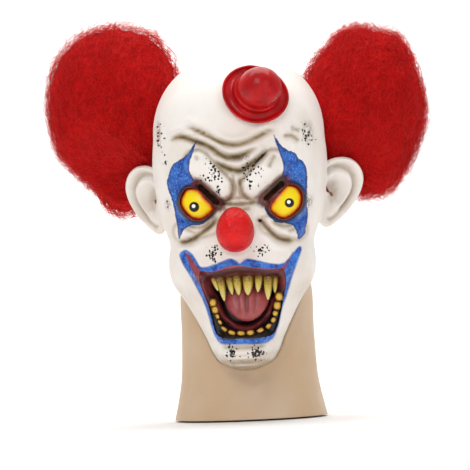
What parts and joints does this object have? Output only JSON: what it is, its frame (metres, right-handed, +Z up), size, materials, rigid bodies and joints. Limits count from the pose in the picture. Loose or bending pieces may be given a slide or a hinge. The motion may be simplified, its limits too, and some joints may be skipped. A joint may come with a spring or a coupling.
{
  "type": "clown mask",
  "caption": "Full-head latex clown mask with an open fanged mouth, bulging eyes, round nose, frizzy side hair and a small bowler hat.",
  "frame": {"origin": "inside of the crown, on the head's middle axis, where the wearer's head carries the mask", "axes": "+Z up, the face looks along -Y, +X is to the right of someone who looks at the face"},
  "size_m": [0.436, 0.286, 0.4502],
  "materials": {
    "white_latex": "satin painted latex",
    "yellow_eye": "gloss",
    "gum_latex": "semi-gloss painted latex",
    "tongue_latex": "semi-gloss painted latex",
    "aged_ivory": "gloss with dark roots",
    "red_gloss": "gloss painted latex",
    "red_hair": "frizzy synthetic fibre"
  },
  "bodies": {
    "root": {"latex_skin": "white_latex", "eye_left": "yellow_eye", "eye_right": "yellow_eye", "mouth_pocket": "gum_latex", "tongue": "tongue_latex", "nose": "red_gloss", "bowler_hat": "red_gloss", "hair_tuft_left": "red_hair", "hair_tuft_right": "red_hair", "upper_fang_1": "aged_ivory", "upper_fang_2": "aged_ivory", "upper_fang_3": "aged_ivory", "upper_fang_4": "aged_ivory", "upper_fang_5": "aged_ivory", "upper_fang_6": "aged_ivory", "upper_fang_7": "aged_ivory", "upper_fang_8": "aged_ivory", "lower_tooth_1": "aged_ivory", "lower_tooth_2": "aged_ivory", "lower_tooth_3": "aged_ivory", "lower_tooth_4": "aged_ivory", "lower_tooth_5": "aged_ivory", "lower_tooth_6": "aged_ivory", "lower_tooth_7": "aged_ivory", "lower_tooth_8": "aged_ivory", "lower_tooth_9": "aged_ivory", "lower_tooth_10": "aged_ivory", "lower_tooth_11": "aged_ivory", "lower_tooth_12": "aged_ivory", "lower_tooth_13": "aged_ivory", "lower_tooth_14": "aged_ivory"}
  },
  "joints": []
}
